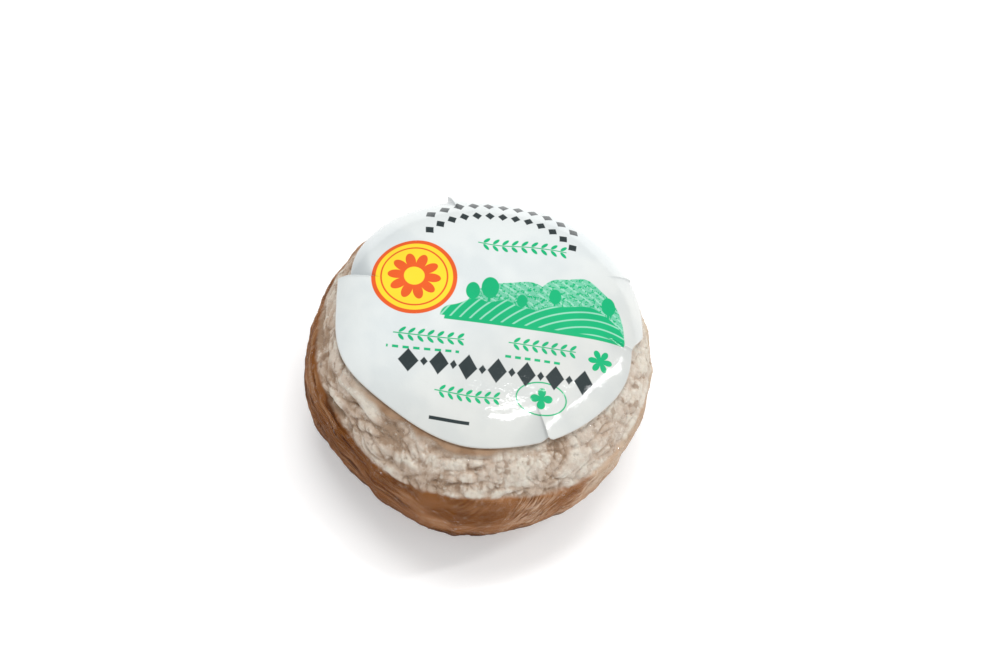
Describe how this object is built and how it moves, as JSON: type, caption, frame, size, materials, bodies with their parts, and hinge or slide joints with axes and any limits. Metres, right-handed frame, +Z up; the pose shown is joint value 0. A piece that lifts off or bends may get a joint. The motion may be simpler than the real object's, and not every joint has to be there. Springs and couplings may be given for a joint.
{
  "type": "crottin goat cheese in clear film with a paper label",
  "caption": "Low drum-shaped ripened goat cheese with a wrinkled rind, sealed in clear film, with a round paper label bent over its top.",
  "frame": {"origin": "middle of the overall box's underside", "axes": "+Z up; -Y is the front, where the label lets most of the rind show"},
  "size_m": [0.0538, 0.0546, 0.0287],
  "materials": {
    "filmed_rind": "off-white and brown rind under skin-tight clear film",
    "label_paper": "glossy coated white paper with a green print and a round yellow and orange badge"
  },
  "bodies": {
    "root": {"wrapped_cheese": "filmed_rind", "label": "label_paper"}
  },
  "joints": []
}
